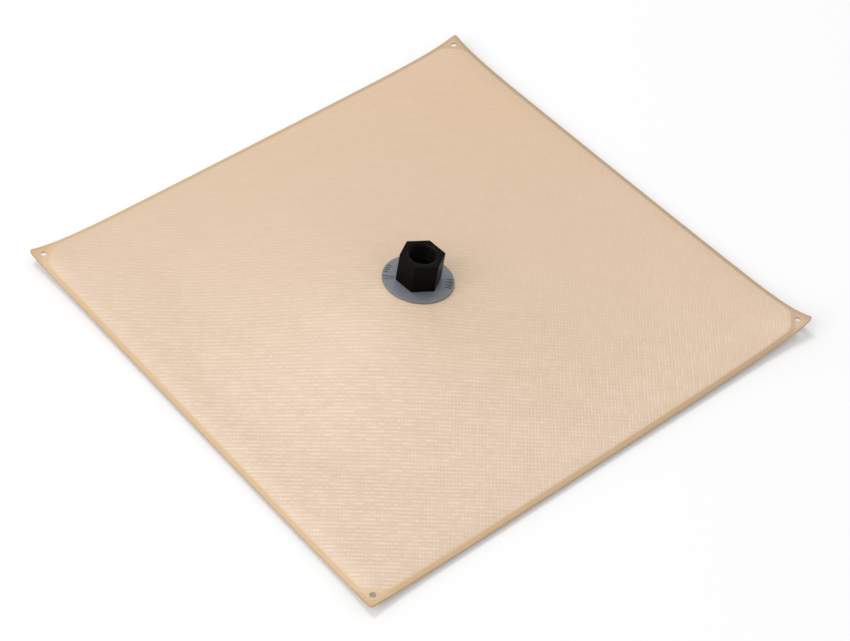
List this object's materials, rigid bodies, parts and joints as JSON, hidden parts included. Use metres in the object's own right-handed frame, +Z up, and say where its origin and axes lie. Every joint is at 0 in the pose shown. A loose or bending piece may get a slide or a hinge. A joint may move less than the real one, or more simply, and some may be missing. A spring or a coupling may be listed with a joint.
{
  "type": "in-tank pickup mat",
  "caption": "Square flat woven-mesh liquid pickup mat with fused edges, punched corner holes and a threaded hexagonal outlet on a round clamp disc.",
  "frame": {"origin": "middle of the flat underside, where the mat rests", "axes": "+Z up out of the mat on the outlet's side, +X and +Y along the mat's sides; the outlet leans towards +Y"},
  "size_m": [0.383, 0.383, 0.0404],
  "materials": {
    "woven_mesh": "fine woven monofilament mesh, satin, tan",
    "bonding_film": "fused hot-melt film, ochre, soft gloss",
    "extruded_net": "extruded, natural white",
    "slate_disc": "anodised slate grey, satin",
    "gasket_rubber": "moulded, matt",
    "black_acetal": "machined from black acetal, satin"
  },
  "bodies": {
    "root": {"corner_patch_back_left": "bonding_film", "corner_patch_back_right": "bonding_film", "corner_patch_front_left": "bonding_film", "corner_patch_front_right": "bonding_film", "flange_disc": "slate_disc", "flange_stub": "black_acetal", "inlet_cage": "black_acetal", "inner_gasket": "gasket_rubber", "lower_mesh_skin": "woven_mesh", "outer_gasket": "gasket_rubber", "outlet_coupling": "black_acetal", "seam_film_back": "bonding_film", "seam_film_front": "bonding_film", "seam_film_left": "bonding_film", "seam_film_right": "bonding_film", "spacer_net": "extruded_net", "thread_seal": "gasket_rubber", "upper_mesh_skin": "woven_mesh"}
  },
  "joints": []
}
